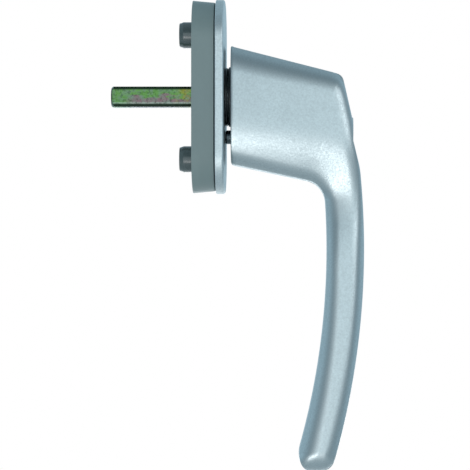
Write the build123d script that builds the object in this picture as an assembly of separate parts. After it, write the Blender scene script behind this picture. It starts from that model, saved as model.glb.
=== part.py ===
"""Tilt turn handle for a window sash, lockable, as separate pieces.

Millimetres. +X points out of the sash into the room, +Z points up, and the origin is on the spindle
axis at the rosette's back face. The handle is shown closed (grip down) and unlocked.
"""
import os
from math import atan2, cos, radians, sin, sqrt, tan

from build123d import *

# --- standard interface -------------------------------------------------------------------------
SPINDLE_AF = 7.0
SCREW_SPACING = 43.0
SCREW_Z = SCREW_SPACING / 2
SCREW_HOLE_R = 2.65
SPINDLE_REACH = 28.4
LUG_R = 4.5
LUG_LENGTH = 4.8
LUG_LEAD = 1.4
LUG_LEAD_DEPTH = 0.5
OVERRUN = 1.0

# --- rosette ------------------------------------------------------------------------------------
BASE_DEPTH = 7.6
BASE_HALF_W = 15.5
BASE_HALF_H = 33.3
BASE_DRAFT = 5.2
BASE_EDGE_R = 0.35
OVAL_CORNER_R = 13.5
OVAL_CAP_R = 23.0
KEEPER_T = 1.5
KEEPER_BACK = 6.0
KEEPER_HALF_W = 12.4
KEEPER_HALF_H = 28.6
KEEPER_CORNER_R = 10.5
KEEPER_CAP_R = 20.0
KEEPER_GAP = 0.15
COUNTERSINK = (0.5, 2.0)
COVER_BACK = 7.95
COVER_FRONT = 10.95
COVER_HALF_W = 15.8
COVER_HALF_H = 33.6
COVER_WALL = 1.25
COVER_FRONT_R = 0.7
COVER_RIM_R = 0.3
LINER_GAP = 0.1

# --- neck and its bearing -----------------------------------------------------------------------
NECK_R = 8.0
NECK_END = 3.9
RUN_GAP = 0.05
COLLAR_R = 9.3
COLLAR_SPIGOT_R = 8.9
COLLAR_FLANGE_R = 10.1
COLLAR_FLANGE_X = (11.05, 12.05)
COLLAR_EDGE_R = 0.42
NECK_RING_R = 10.4
NECK_RING_X = (12.2, 13.25)
NECK_RING_EDGE_R = 0.45
CLIP_GROOVE_R = 7.3
CLIP_GROOVE_X = (4.4, 5.4)
CLIP_R = 9.2
CLIP_OPENING = 4.2
CLIP_EYE_R = 1.05
CLIP_EYE_HOLE_R = 0.45
CLIP_EYE_AT = (2.9, -8.15)
WASHER_R = 9.6
WASHER_BORE_R = NECK_R + 0.06
WASHER_X = (5.45, 5.93)

# --- detent -------------------------------------------------------------------------------------
HUB_JOURNAL_R = 6.0
HUB_START = 0.15
HUB_BORE_AF = SPINDLE_AF + 0.1
HUB_DISC_R = 9.5
HUB_DISC_X = (1.4, 3.7)
POCKET_R = 9.8
POCKET_FLOOR = 1.3
BALL_R = 1.5
BALL_X = (HUB_DISC_X[0] + HUB_DISC_X[1]) / 2
BALL_TRAVEL = 0.8
BALL_LIFT = 0.15
BALL_REST_R = HUB_DISC_R + BALL_LIFT + BALL_R
NOTCH_R = BALL_R + 0.15
CHANNEL_END = 16.6
DETENT_COIL_R = 1.1
DETENT_WIRE_R = 0.17
DETENT_TURNS = 4.5
DETENT_SPRING_GAP = 0.3

# --- lever --------------------------------------------------------------------------------------
HEAD_REAR = 13.25
HEAD_TOP = 17.3
HEAD_HALF_W = 13.5
GRIP_HALF_W = 10.2
SHOULDER_Z = -12.0
WAIST_Z = -42.0
HEAD_FRONT_TOP = (51.5, 7.5)
FACET_X = 55.3
FACET_Z = (-9.2, -15.3)
GRIP_CENTRE = (-207.9, -52.6)
GRIP_INNER_R = 254.0
GRIP_OUTER_R = 267.0
GRIP_END = -129.2
UNDERSIDE_START = -23.6
UNDERSIDE_FALL = 12.0
EDGE_R = 3.2
FRONT_TOP_R = 3.0
UNDER_R = 8.0
GRIP_END_R = 4.5
FACET_BLEND_Z = -24.8
SOCKET_END = 37.0

# --- spindle ------------------------------------------------------------------------------------
SPINDLE_END = 36.5
SPINDLE_EDGE = 0.75
SPINDLE_TIP_R = 3.1
SPINDLE_SHOULDER_R = 6.0
SPINDLE_TIP = 2.2
PIN_X = 9.2
PIN_R = 1.5
PIN_LENGTH = 15.0

# --- lock ---------------------------------------------------------------------------------------
PLUG_Z = -11.15
BOLT_Z = -13.9
LOCK_TRAVEL = 4.8
LOCK_TURN = 90.0
HOUSING_R = 4.15
HOUSING_X = (38.5, 55.35)
HOUSING_BORE_START = 27.9
HOUSING_EDGE = 0.25
PLUG_R = 2.95
PLUG_FLANGE_R = 3.3
PLUG_FLANGE_X = 54.4
PLUG_SET_BACK = 0.1
KEYWAY = (0.95, 4.4)
TAIL_AF = 2.6
TAIL_START = 28.0
TAIL_GROOVE = (3.0, 1.05, 28.35, 28.9)
PLUG_CLIP = (2.5, 1.1, 28.4, 28.85)
PLUG_CLIP_OPENING = 1.7
CAM_R = 3.4
CAM_X = (29.0, 38.2)
CAM_LEAD = LOCK_TRAVEL * 360 / LOCK_TURN
CAM_GROOVE_W = 2.7
CAM_GROOVE_D = 1.1
CAM_BORE_AF = TAIL_AF + 0.06
BOLT_R = 2.4
BOLT_TIP = 11.12
BOLT_TIP_EDGE = 0.4
BOLT_COLLAR_R = 3.5
BOLT_COLLAR_X = (25.5, 27.0)
BOLT_TONGUE_TOP = -14.75
BOLT_TONGUE_END = 37.8
FOLLOWER_R = 0.7
FOLLOWER_X = 34.2
FOLLOWER_GAP = 0.2
CHAMBER_R = 3.7
CHAMBER_X = (18.0, 38.4)
LOCK_HOLE_R = BOLT_R + 0.3
LOCK_HOLE_Z = abs(BOLT_Z)
BOLT_COIL_R = 2.98
BOLT_WIRE_R = 0.2
BOLT_COIL_TURNS = 5
BOLT_SPRING_GAP = 0.4
SET_SCREW_X = 41.0
SET_SCREW_R = 1.5
SET_SCREW_LENGTH = 4.0
SET_SCREW_SOCKET = (0.85, 1.8)
SET_SCREW_BORE_DEPTH = 25.0
WAFER_COUNT = 5
WAFER_PITCH = 2.0
WAFER_FIRST_X = 43.6
WAFER_SIZE = (2.4, 0.6)
WAFER_WINDOW = (1.3, 3.4)
WAFER_SLOT = (2.7, 7.0, 0.8)

TOP = (Align.CENTER, Align.CENTER, Align.MAX)
BOTTOM = (Align.CENTER, Align.CENTER, Align.MIN)


def rod(radius, x0, x1, y=0.0, z=0.0):
    """A cylinder along X from x0 to x1."""
    return extrude(Plane.YZ.offset(x0) * Pos(y, z) * Circle(radius), amount=x1 - x0)


def bar(width, height, x0, x1, y=0.0, z=0.0):
    """A rectangular bar along X from x0 to x1."""
    return extrude(Plane.YZ.offset(x0) * Pos(y, z) * Rectangle(width, height), amount=x1 - x0)


def ring(outer, inner, x0, x1):
    """A flat ring round the spindle axis."""
    return rod(outer, x0, x1) - rod(inner, x0 - OVERRUN, x1 + OVERRUN)


def cone_x(radius0, radius1, x0, x1, y=0.0, z=0.0):
    """A cone along X, radius0 at x0 and radius1 at x1."""
    section = Polyline((x0, 0), (x0, radius0), (x1, radius1), (x1, 0), close=True)
    return Pos(0, y, z) * revolve(make_face(section), Axis.X)


def oval(half_w, half_h, corner_r=OVAL_CORNER_R, cap_r=OVAL_CAP_R):
    """A tall oval: straight sides, round corners and slightly flatter end caps, all tangent."""
    side = half_w - corner_r
    cap_z = half_h - cap_r
    corner_z = cap_z + sqrt((cap_r - corner_r) ** 2 - side**2)
    lean = (side / (cap_r - corner_r), (corner_z - cap_z) / (cap_r - corner_r))
    join = (cap_r * lean[0], cap_z + cap_r * lean[1])
    turn = atan2(lean[1], lean[0]) / 2
    middle = (side + corner_r * cos(turn), corner_z + corner_r * sin(turn))
    edges = [
        Line((half_w, -corner_z), (half_w, corner_z)),
        ThreePointArc((half_w, corner_z), middle, join),
        ThreePointArc(join, (0, half_h), (-join[0], join[1])),
        ThreePointArc((-join[0], join[1]), (-middle[0], middle[1]), (-half_w, corner_z)),
        Line((-half_w, corner_z), (-half_w, -corner_z)),
        ThreePointArc((-half_w, -corner_z), (-middle[0], -middle[1]), (-join[0], -join[1])),
        ThreePointArc((-join[0], -join[1]), (0, -half_h), (join[0], -join[1])),
        ThreePointArc((join[0], -join[1]), (middle[0], -middle[1]), (half_w, -corner_z)),
    ]
    return make_face(edges)


def coil(mean_r, wire_r, length, turns):
    """A compression spring that stands on the XY plane."""
    path = Helix(pitch=length / turns, height=length, radius=mean_r)
    section = Plane(origin=path @ 0, z_dir=path % 0) * Circle(wire_r)
    return sweep(section, path=path, is_frenet=True)


# --- rosette ------------------------------------------------------------------------------------
def rosette_base():
    """Moulded base: tapered oval body, two hollow lugs, hub bore, detent channels, keeper recess."""
    body = extrude(Plane.YZ * oval(BASE_HALF_W, BASE_HALF_H), amount=BASE_DEPTH, taper=BASE_DRAFT)
    body = fillet(body.faces().sort_by(Axis.X)[-1].edges(), BASE_EDGE_R)
    lead_end = LUG_LEAD - LUG_LENGTH
    for side in (-1, 1):
        body += rod(LUG_R, lead_end, OVERRUN, z=side * SCREW_Z)
        body += cone_x(LUG_R - LUG_LEAD_DEPTH, LUG_R, -LUG_LENGTH, lead_end, z=side * SCREW_Z)
    for side in (-1, 1):
        body -= rod(SCREW_HOLE_R, -LUG_LENGTH - OVERRUN, BASE_DEPTH, z=side * SCREW_Z)
        channel = Plane.XY * Pos(BALL_X, 0) * Circle(BALL_R + RUN_GAP)
        body -= extrude(channel, amount=side * CHANNEL_END)
    body -= rod(HUB_JOURNAL_R + RUN_GAP, -OVERRUN, POCKET_FLOOR + OVERRUN)
    body -= rod(POCKET_R, POCKET_FLOOR, BASE_DEPTH + OVERRUN)
    recess = oval(KEEPER_HALF_W + KEEPER_GAP, KEEPER_HALF_H + KEEPER_GAP, KEEPER_CORNER_R, KEEPER_CAP_R)
    body -= extrude(Plane.YZ.offset(KEEPER_BACK) * recess, amount=BASE_DEPTH)
    return body


def keeper_plate():
    """Steel plate that the screws pull against; it holds the collar and takes the lock bolt."""
    outline = oval(KEEPER_HALF_W, KEEPER_HALF_H, KEEPER_CORNER_R, KEEPER_CAP_R)
    plate = extrude(Plane.YZ.offset(KEEPER_BACK) * outline, amount=KEEPER_T)
    front = KEEPER_BACK + KEEPER_T
    plate -= rod(COLLAR_SPIGOT_R, KEEPER_BACK - OVERRUN, front + OVERRUN)
    narrow, wide = (SCREW_HOLE_R + extra for extra in COUNTERSINK)
    for side in (-1, 1):
        plate -= cone_x(narrow, wide, KEEPER_BACK, front, z=side * SCREW_Z)
        plate -= rod(LOCK_HOLE_R, KEEPER_BACK - OVERRUN, front + OVERRUN, z=side * LOCK_HOLE_Z)
    return plate


def bearing_collar():
    """Slide bearing for the lever's neck; its flange keeps the cover on."""
    front = KEEPER_BACK + KEEPER_T
    collar = rod(COLLAR_SPIGOT_R, KEEPER_BACK, front)
    collar += rod(COLLAR_R, front, COLLAR_FLANGE_X[0])
    flange = rod(COLLAR_FLANGE_R, *COLLAR_FLANGE_X)
    collar += fillet(flange.edges(), COLLAR_EDGE_R)
    return collar - rod(NECK_R + RUN_GAP, KEEPER_BACK - OVERRUN, COLLAR_FLANGE_X[1] + OVERRUN)


def cover_plate():
    """Aluminium cap over the screws; it turns on the collar."""
    cap = extrude(Plane.YZ.offset(COVER_BACK) * oval(COVER_HALF_W, COVER_HALF_H),
                  amount=COVER_FRONT - COVER_BACK)
    cap = fillet(cap.faces().sort_by(Axis.X)[-1].edges(), COVER_FRONT_R)
    cap = fillet(cap.faces().sort_by(Axis.X)[0].edges(), COVER_RIM_R)
    depth = COVER_FRONT - COVER_BACK - COVER_WALL
    cap -= extrude(Plane.YZ.offset(COVER_BACK - OVERRUN) * cover_inset(COVER_WALL), amount=depth + OVERRUN)
    return cap - cover_holes()


def cover_liner():
    """Plastic carrier that fills the cap."""
    outline = cover_inset(COVER_WALL + LINER_GAP)
    depth = COVER_FRONT - COVER_BACK - COVER_WALL - LINER_GAP
    return extrude(Plane.YZ.offset(COVER_BACK + LINER_GAP / 2) * outline, amount=depth) - cover_holes()


def cover_inset(inset):
    """The cover's outline, moved in by an even distance."""
    return oval(COVER_HALF_W - inset, COVER_HALF_H - inset, OVAL_CORNER_R - inset, OVAL_CAP_R - inset)


def cover_holes():
    """The neck hole and the two lock holes that go through cap and liner."""
    span = (COVER_BACK - OVERRUN, COVER_FRONT + OVERRUN)
    cut = rod(COLLAR_R + RUN_GAP, *span)
    for side in (-1, 1):
        cut += rod(LOCK_HOLE_R, *span, z=side * LOCK_HOLE_Z)
    return cut


# --- detent -------------------------------------------------------------------------------------
def detent_hub():
    """Hub on the spindle with one notch for each quarter turn."""
    hub = rod(HUB_JOURNAL_R, HUB_START, HUB_DISC_X[0]) + rod(HUB_DISC_R, *HUB_DISC_X)
    notch_at = BALL_REST_R - BALL_TRAVEL
    span = (HUB_DISC_X[0] - OVERRUN, HUB_DISC_X[1] + OVERRUN)
    for quarter in range(4):
        turn = radians(90 * quarter)
        hub -= rod(NOTCH_R, *span, y=notch_at * cos(turn), z=notch_at * sin(turn))
    return hub - bar(HUB_BORE_AF, HUB_BORE_AF, -OVERRUN, NECK_END + OVERRUN)


def detent_ball(side):
    """Ball beside the hub, lifted clear of its rim."""
    return Pos(BALL_X, 0, side * BALL_REST_R) * Sphere(BALL_R)


def detent_spring(side):
    """Spring that pushes a detent ball into its notch."""
    start = BALL_REST_R + BALL_R + DETENT_SPRING_GAP
    length = CHANNEL_END - DETENT_SPRING_GAP - start
    spring = coil(DETENT_COIL_R, DETENT_WIRE_R, length, DETENT_TURNS)
    if side < 0:
        spring = Rot(180, 0, 0) * spring
    return Pos(BALL_X, 0, side * start) * spring


# --- lever --------------------------------------------------------------------------------------
def arc_x(radius, z):
    """X of one of the grip's concentric arcs at height z."""
    return GRIP_CENTRE[0] + sqrt(radius**2 - (z - GRIP_CENTRE[1]) ** 2)


def arc_crossing(radius, start, fall):
    """Where a line that falls from start by fall degrees meets a grip arc."""
    x = start[0]
    for _ in range(30):
        z = start[1] - (x - start[0]) * tan(radians(fall))
        x = arc_x(radius, z)
    return (x, z)


def lever_side():
    """The lever's outline seen from the side, in X and Z."""
    under = arc_crossing(GRIP_INNER_R, (HEAD_REAR, UNDERSIDE_START), UNDERSIDE_FALL)
    outer_start = (arc_x(GRIP_OUTER_R, FACET_BLEND_Z), FACET_BLEND_Z)
    outer_end = (arc_x(GRIP_OUTER_R, GRIP_END), GRIP_END)
    inner_end = (arc_x(GRIP_INNER_R, GRIP_END), GRIP_END)
    middle_z = GRIP_CENTRE[1]
    edges = [
        Line((HEAD_REAR, UNDERSIDE_START), (HEAD_REAR, HEAD_TOP)),
        Line((HEAD_REAR, HEAD_TOP), HEAD_FRONT_TOP),
        Line(HEAD_FRONT_TOP, (FACET_X, FACET_Z[0])),
        Line((FACET_X, FACET_Z[0]), (FACET_X, FACET_Z[1])),
        Line((FACET_X, FACET_Z[1]), outer_start),
        ThreePointArc(outer_start, (arc_x(GRIP_OUTER_R, middle_z), middle_z), outer_end),
        Line(outer_end, inner_end),
        ThreePointArc(inner_end, (arc_x(GRIP_INNER_R, middle_z), middle_z), under),
        Line(under, (HEAD_REAR, UNDERSIDE_START)),
    ]
    face = make_face(edges)
    corners = {HEAD_FRONT_TOP: FRONT_TOP_R, under: UNDER_R, outer_end: GRIP_END_R, inner_end: GRIP_END_R}
    for point, radius in corners.items():
        corner = face.vertices().sort_by_distance((point[0], point[1], 0))[0]
        face = fillet(corner, radius)
    return face


def lever_front_half():
    """One half of the lever's outline seen from the room, in Y and Z: the head narrows to the grip."""
    top = HEAD_TOP + OVERRUN
    bottom = GRIP_END - OVERRUN
    points = [(0, top), (HEAD_HALF_W, top), (HEAD_HALF_W, SHOULDER_Z),
              (GRIP_HALF_W, WAIST_Z), (GRIP_HALF_W, bottom), (0, bottom)]
    return make_face(Polyline(*points, close=True))


def lever_half():
    """The lever on the +Y side of its middle plane, with its long edges rounded."""
    half = extrude(Plane.XZ * lever_side(), amount=-HEAD_HALF_W)
    half &= extrude(Plane.YZ * lever_front_half(), amount=2 * FACET_X)
    outline_edges = []
    for edge in half.edges():
        box = edge.bounding_box()
        on_middle = edge.center().Y < HEAD_HALF_W / 4
        on_rear = box.max.X < HEAD_REAR + EDGE_R / 4
        along_view = box.size.Z < 0.001 and box.size.Y < 0.001
        across = box.size.Y > GRIP_HALF_W - EDGE_R / 4
        if not (on_middle or on_rear or along_view or across):
            outline_edges.append(edge)
    return fillet(outline_edges, EDGE_R)


def handle_lever():
    """Solid aluminium lever: wedge-shaped head, curved grip and turned neck."""
    half = lever_half()
    body = half + mirror(half, about=Plane.XZ)
    body += rod(NECK_R, NECK_END, HEAD_REAR + OVERRUN)
    body -= ring(NECK_R + OVERRUN, CLIP_GROOVE_R, *CLIP_GROOVE_X)
    body -= bar(HUB_BORE_AF, HUB_BORE_AF, NECK_END - OVERRUN, SOCKET_END)
    body -= spindle_pin()
    body -= rod(BOLT_R + RUN_GAP, HEAD_REAR - OVERRUN, CHAMBER_X[0] + OVERRUN, z=BOLT_Z)
    body -= rod(CHAMBER_R, *CHAMBER_X, z=BOLT_Z)
    body -= rod(HOUSING_R, HOUSING_BORE_START, HOUSING_X[1] + OVERRUN, z=PLUG_Z)
    screw_hole = Pos(SET_SCREW_X, 0, PLUG_Z) * Cylinder(SET_SCREW_R, SET_SCREW_BORE_DEPTH, align=TOP)
    return body - screw_hole


def neck_ring():
    """Black ring on the neck, against the head's back face."""
    outer = rod(NECK_RING_R, *NECK_RING_X)
    return fillet(outer.edges(), NECK_RING_EDGE_R) - rod(NECK_R, 0, HEAD_REAR + OVERRUN)


def thrust_washer():
    """Washer between keeper plate and retaining ring."""
    return ring(WASHER_R, WASHER_BORE_R, *WASHER_X)


def retaining_ring():
    """Open snap ring in the neck's groove, with two eyes for pliers."""
    bore = CLIP_GROOVE_R + RUN_GAP
    span = (CLIP_GROOVE_X[0] + RUN_GAP, CLIP_GROOVE_X[1] - RUN_GAP)
    eye_y, eye_z = CLIP_EYE_AT
    clip = ring(CLIP_R, bore, *span)
    clip -= bar(CLIP_OPENING, 2 * CLIP_R, 0, 2 * span[1], z=-CLIP_R - CLIP_EYE_R)
    for side in (-1, 1):
        clip += rod(CLIP_EYE_R, *span, y=side * eye_y, z=eye_z)
        clip -= rod(CLIP_EYE_HOLE_R, 0, 2 * span[1], y=side * eye_y, z=eye_z)
    return clip - rod(bore, 0, 2 * span[1])


def spindle():
    """Square drive spindle with broken edges and a turned tip."""
    body = bar(SPINDLE_AF, SPINDLE_AF, -SPINDLE_REACH, SPINDLE_END)
    body = chamfer(body.edges().filter_by(Axis.X), SPINDLE_EDGE)
    tip_end = SPINDLE_TIP - SPINDLE_REACH
    blank = rod(SPINDLE_SHOULDER_R, tip_end, SPINDLE_END + OVERRUN)
    blank += cone_x(SPINDLE_TIP_R, SPINDLE_SHOULDER_R, -SPINDLE_REACH, tip_end)
    return (body & blank) - spindle_pin()


def spindle_pin():
    """Cross pin that fastens the spindle in the neck."""
    return Pos(PIN_X, 0, 0) * Rot(90, 0, 0) * Cylinder(PIN_R, PIN_LENGTH)


# --- lock ---------------------------------------------------------------------------------------
def lock_housing():
    """Sleeve in the head that the plug turns in."""
    outer = rod(HOUSING_R, *HOUSING_X, z=PLUG_Z)
    front = HOUSING_X[1] + OVERRUN
    outer = chamfer(outer.edges().sort_by(Axis.X)[-1], HOUSING_EDGE)
    outer -= rod(PLUG_R + RUN_GAP, HOUSING_X[0] - OVERRUN, front, z=PLUG_Z)
    return outer - rod(PLUG_FLANGE_R + RUN_GAP, PLUG_FLANGE_X - PLUG_SET_BACK, front, z=PLUG_Z)


def lock_plug():
    """Key plug: face flange, keyway, wafer slots and a square tail for the cam."""
    start = HOUSING_X[0] + PLUG_SET_BACK
    plug = rod(PLUG_R, start, PLUG_FLANGE_X, z=PLUG_Z)
    plug += rod(PLUG_FLANGE_R, PLUG_FLANGE_X, HOUSING_X[1] - PLUG_SET_BACK, z=PLUG_Z)
    plug += bar(TAIL_AF, TAIL_AF, TAIL_START, start, z=PLUG_Z)
    plug -= ring_at(*TAIL_GROOVE)
    slot_w, slot_h, slot_t = WAFER_SLOT
    plug -= bar(*KEYWAY, WAFER_FIRST_X - 1.5 * slot_t, HOUSING_X[1] + OVERRUN, z=PLUG_Z)
    for k in range(WAFER_COUNT):
        x = WAFER_FIRST_X + k * WAFER_PITCH
        plug -= bar(slot_w, slot_h, x - slot_t / 2, x + slot_t / 2, z=PLUG_Z)
    return plug


def ring_at(outer, inner, x0, x1):
    """A flat ring round the plug axis."""
    return Pos(0, 0, PLUG_Z) * ring(outer, inner, x0, x1)


def tumbler_wafers():
    """Thin wafers with a window for the key, one in each slot of the plug."""
    width, thickness = WAFER_SIZE
    wafer = rod(PLUG_R, -thickness / 2, thickness / 2) & bar(width, 4 * PLUG_R, -OVERRUN, OVERRUN)
    wafer -= bar(*WAFER_WINDOW, -OVERRUN, OVERRUN)
    places = [Pos(WAFER_FIRST_X + k * WAFER_PITCH, 0, PLUG_Z) for k in range(WAFER_COUNT)]
    return Compound([place * wafer for place in places])


def plug_cam():
    """Barrel on the plug's tail with a helical groove that drives the bolt."""
    groove_floor = CAM_R - CAM_GROOVE_D
    section = Circle(CAM_R) - Pos(0, -groove_floor - CAM_R / 2) * Rectangle(CAM_GROOVE_W, CAM_R)
    length = CAM_X[1] - CAM_X[0]
    twist = 360 * length / CAM_LEAD
    start = (FOLLOWER_X - CAM_X[0]) * 360 / CAM_LEAD
    face = (Plane.YZ.offset(CAM_X[0]) * Pos(0, PLUG_Z) * Rot(0, 0, -start) * section).face()
    barrel = Solid.extrude_linear_with_rotation(
        face, center=(CAM_X[0], 0, PLUG_Z), normal=(length, 0, 0), angle=twist)
    return barrel - bar(CAM_BORE_AF, CAM_BORE_AF, CAM_X[0] - OVERRUN, CAM_X[1] + OVERRUN, z=PLUG_Z)


def plug_clip():
    """Open clip behind the cam, in the tail's groove."""
    outer = PLUG_CLIP[0]
    opening = bar(PLUG_CLIP_OPENING, 2 * outer, TAIL_START, CAM_X[0], z=PLUG_Z + outer)
    return ring_at(*PLUG_CLIP) - opening


def lock_bolt():
    """Bolt that locks the lever to the rosette, with collar, tongue and cam follower."""
    bolt = rod(BOLT_R, BOLT_TIP, BOLT_COLLAR_X[0], z=BOLT_Z)
    bolt = chamfer(bolt.edges().sort_by(Axis.X)[0], BOLT_TIP_EDGE)
    bolt += rod(BOLT_COLLAR_R, *BOLT_COLLAR_X, z=BOLT_Z)
    tongue = rod(BOLT_COLLAR_R, BOLT_COLLAR_X[1], BOLT_TONGUE_END, z=BOLT_Z)
    side = 4 * BOLT_COLLAR_R
    tongue -= bar(side, side, 0, BOLT_TONGUE_END + OVERRUN, z=BOLT_TONGUE_TOP + side / 2)
    groove_floor = PLUG_Z - CAM_R + CAM_GROOVE_D
    height = groove_floor - FOLLOWER_GAP - BOLT_TONGUE_TOP
    follower = Pos(FOLLOWER_X, 0, BOLT_TONGUE_TOP) * Cylinder(FOLLOWER_R, height, align=BOTTOM)
    return bolt + tongue + follower


def bolt_spring():
    """Return spring round the bolt, between the head's step and the bolt's collar."""
    length = BOLT_COLLAR_X[0] - CHAMBER_X[0] - 2 * BOLT_SPRING_GAP
    spring = Rot(0, 90, 0) * coil(BOLT_COIL_R, BOLT_WIRE_R, length, BOLT_COIL_TURNS)
    return Pos(CHAMBER_X[0] + BOLT_SPRING_GAP, 0, BOLT_Z) * spring


def lock_set_screw():
    """Grub screw that clamps the housing from the head's underside."""
    top = Pos(SET_SCREW_X, 0, PLUG_Z - HOUSING_R)
    body = top * Cylinder(SET_SCREW_R, SET_SCREW_LENGTH, align=TOP)
    socket_r, socket_depth = SET_SCREW_SOCKET
    bottom = Pos(SET_SCREW_X, 0, PLUG_Z - HOUSING_R - SET_SCREW_LENGTH)
    return body - bottom * extrude(RegularPolygon(socket_r, 6), amount=socket_depth)


PIECES = {
    "rosette_base": rosette_base,
    "keeper_plate": keeper_plate,
    "bearing_collar": bearing_collar,
    "cover_plate": cover_plate,
    "cover_liner": cover_liner,
    "detent_hub": detent_hub,
    "detent_ball_upper": lambda: detent_ball(1),
    "detent_ball_lower": lambda: detent_ball(-1),
    "detent_spring_upper": lambda: detent_spring(1),
    "detent_spring_lower": lambda: detent_spring(-1),
    "handle_lever": handle_lever,
    "neck_ring": neck_ring,
    "thrust_washer": thrust_washer,
    "retaining_ring": retaining_ring,
    "spindle": spindle,
    "spindle_pin": spindle_pin,
    "lock_housing": lock_housing,
    "lock_plug": lock_plug,
    "tumbler_wafers": tumbler_wafers,
    "plug_cam": plug_cam,
    "plug_clip": plug_clip,
    "lock_bolt": lock_bolt,
    "bolt_spring": bolt_spring,
    "lock_set_screw": lock_set_screw,
}

os.makedirs("parts", exist_ok=True)
for name, build in PIECES.items():
    export_step(build(), f"parts/{name}.step")
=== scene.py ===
"""Looks of a lockable tilt turn window handle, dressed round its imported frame.

Metres, apart from what says millimetres. +X points out of the sash into the room, +Z points up, and
the origin is on the spindle axis at the rosette's back face.
"""
import logging
import math
from collections.abc import Iterable
from dataclasses import dataclass, field
from enum import Enum

import bmesh
import bpy
import numpy as np
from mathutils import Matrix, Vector


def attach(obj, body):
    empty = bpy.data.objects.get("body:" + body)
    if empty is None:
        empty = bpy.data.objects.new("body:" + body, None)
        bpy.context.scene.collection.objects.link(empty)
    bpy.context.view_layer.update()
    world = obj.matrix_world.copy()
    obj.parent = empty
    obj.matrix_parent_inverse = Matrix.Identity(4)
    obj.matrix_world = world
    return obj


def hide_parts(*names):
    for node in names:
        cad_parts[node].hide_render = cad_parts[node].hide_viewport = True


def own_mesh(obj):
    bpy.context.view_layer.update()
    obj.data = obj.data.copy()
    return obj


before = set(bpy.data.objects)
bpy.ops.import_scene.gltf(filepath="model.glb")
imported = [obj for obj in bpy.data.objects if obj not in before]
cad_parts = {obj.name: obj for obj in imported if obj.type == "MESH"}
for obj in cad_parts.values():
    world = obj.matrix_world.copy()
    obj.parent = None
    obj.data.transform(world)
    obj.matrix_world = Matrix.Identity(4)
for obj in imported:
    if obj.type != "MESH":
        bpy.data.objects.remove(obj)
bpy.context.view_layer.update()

LOG = logging.getLogger("tilt_turn_handle")
MM = 0.001

Point = tuple[float, float]
Span = tuple[float, float]
Place = tuple[float, float, float]
Colour = tuple[float, float, float]
Socket = bpy.types.NodeSocket

NOISE_SPAN: Span = (0.3, 0.7)
EVEN: Place = (1.0, 1.0, 1.0)
TINY = 1e-9


def screen_colour(red: int, green: int, blue: int) -> Colour:
    """Turn an eight-bit display colour into a linear one, by the sRGB curve.

    Args:
        red: Red from 0 to 255.
        green: Green from 0 to 255.
        blue: Blue from 0 to 255.

    Returns:
        The three linear channels.
    """
    linear = []
    for channel in (red, green, blue):
        value = channel / 255
        linear.append(value / 12.92 if value <= 0.04045 else ((value + 0.055) / 1.055) ** 2.4)
    return (linear[0], linear[1], linear[2])


def shade(tone: Colour, factor: float, lift: float = 0.0) -> Colour:
    """Make a colour darker or lighter.

    Args:
        tone: The linear colour.
        factor: What each channel is multiplied by.
        lift: What is then added to each channel.

    Returns:
        The new colour, with no channel above 1.
    """
    red, green, blue = (min(1.0, channel * factor + lift) for channel in tone)
    return (red, green, blue)


def metres(span: Span) -> Span:
    """Turn a span in millimetres into metres."""
    return (span[0] * MM, span[1] * MM)


# --- materials ----------------------------------------------------------------------------------
@dataclass(frozen=True)
class Blotches:
    """Soft noise, mapped to the share of a surface that it changes."""

    period_mm: float
    detail: float = 2.0
    span: Span = NOISE_SPAN
    result: Span = (0.0, 1.0)
    stretch: Place = EVEN


class NodeTree:
    """A node tree, laid down a node at a time."""

    def __init__(self, tree: bpy.types.NodeTree) -> None:
        """Empty the tree.

        Args:
            tree: The tree to fill.
        """
        self.tree = tree
        self.tree.nodes.clear()

    def add(self, kind: str, inputs: dict | None = None, **settings: object) -> bpy.types.Node:
        """Add a node.

        Args:
            kind: Blender's type name of the node.
            inputs: Values or output sockets for the node's inputs, by name or number.
            settings: Properties to set on the node.

        Returns:
            The new node.
        """
        node = self.tree.nodes.new(kind)
        for name, value in settings.items():
            setattr(node, name, value)
        for name, value in (inputs or {}).items():
            if isinstance(value, Socket):
                self.tree.links.new(value, node.inputs[name])
            else:
                node.inputs[name].default_value = value
        return node

    def calculate(self, operation: str, *values: Socket) -> Socket:
        """Combine one or two values by one of Blender's maths operations."""
        return self.add("ShaderNodeMath", dict(enumerate(values)), operation=operation).outputs[0]

    def remap(self, value: Socket, span: Span, result: Span = (0.0, 1.0), **settings: object) -> Socket:
        """Map a value from one range to another, held at the ends.

        Args:
            value: The socket to map.
            span: The two values that become the ends of the new range.
            result: The ends of the new range.
            settings: Properties to set on the node.

        Returns:
            The mapped value's socket.
        """
        inputs = dict(enumerate((value, *span, *result)))
        return self.add("ShaderNodeMapRange", inputs, **settings).outputs[0]


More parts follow.
